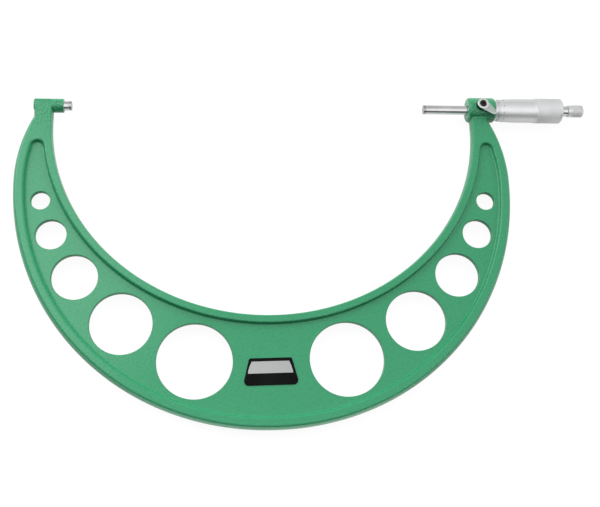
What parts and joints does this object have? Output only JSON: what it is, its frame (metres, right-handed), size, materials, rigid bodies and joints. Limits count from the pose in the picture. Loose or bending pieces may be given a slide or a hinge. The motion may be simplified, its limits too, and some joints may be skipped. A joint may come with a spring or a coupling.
{
  "type": "outside micrometer",
  "caption": "Outside micrometer with a deep, lacquered, holed bow frame, a graduated sleeve and thimble, a ratchet stop and a lever spindle lock, lying on its back.",
  "frame": {"origin": "centre of the anvil's measuring face", "axes": "+X along the measuring axis from the anvil towards the thimble, -Y towards the frame's bow, +Z out of the frame's front, away from the surface it lies on"},
  "size_m": [0.4059, 0.2363, 0.0209],
  "materials": {
    "green_paint": "light sea-green hammered enamel",
    "ground_steel": "ground",
    "satin_chrome": "satin",
    "carbide": "lapped",
    "bright_chrome": "polished",
    "black_oxide": "black oxide",
    "brass": "turned",
    "printed_plate": "black print with a silver field"
  },
  "bodies": {
    "frame": {"frame": "green_paint", "anvil": "ground_steel", "anvil_tip": "carbide", "nameplate": "printed_plate", "inner_sleeve": "ground_steel", "adjusting_nut": "ground_steel", "graduated_sleeve": "satin_chrome"},
    "spindle_tip": {"spindle_tip": "carbide"},
    "thimble": {"spindle": "ground_steel", "thimble": "satin_chrome", "thimble_connector": "ground_steel", "ratchet_body": "satin_chrome", "ratchet_screw": "satin_chrome"},
    "ratchet_knob": {"ratchet_knob": "satin_chrome", "ratchet_spring": "ground_steel"},
    "click_ring": {"click_ring": "ground_steel"},
    "lock_shoe": {"lock_shoe": "brass"},
    "lock_lever": {"lock_stud": "ground_steel", "lock_lever": "bright_chrome", "lock_screw": "black_oxide"}
  },
  "joints": [
    {"name": "spindle_feed", "type": "slide", "parent": "frame", "child": "spindle_tip", "axis": [1, 0, 0], "range_m": [0, 0.025]},
    {"name": "thimble_turn", "type": "hinge", "parent": "spindle_tip", "child": "thimble", "pos_m": [0.25, 0, 0], "axis": [1, 0, 0], "range_deg": [0, 18010]},
    {"name": "ratchet_turn", "type": "hinge", "parent": "thimble", "child": "ratchet_knob", "pos_m": [0.35785, 0, 0], "axis": [1, 0, 0], "continuous": true},
    {"name": "click_lift", "type": "slide", "parent": "ratchet_knob", "child": "click_ring", "axis": [1, 0, 0], "range_m": [0, 0.0005], "stiffness_N_per_m": 3000, "springref_m": -0.0006, "deforming": ["ratchet_spring"]},
    {"name": "lock_feed", "type": "slide", "parent": "frame", "child": "lock_shoe", "axis": [0, 0, 1], "range_m": [-0.000111, 0.000088]},
    {"name": "lock_turn", "type": "hinge", "parent": "lock_shoe", "child": "lock_lever", "pos_m": [0.2916, 0, 0.0081], "axis": [0, 0, 1], "range_deg": [-50, 40]}
  ],
  "couplings": [
    {"joint": "thimble_turn", "follows": "spindle_feed", "rad_per_m": 12566},
    {"joint": "lock_turn", "follows": "lock_feed", "rad_per_m": 7854}
  ]
}
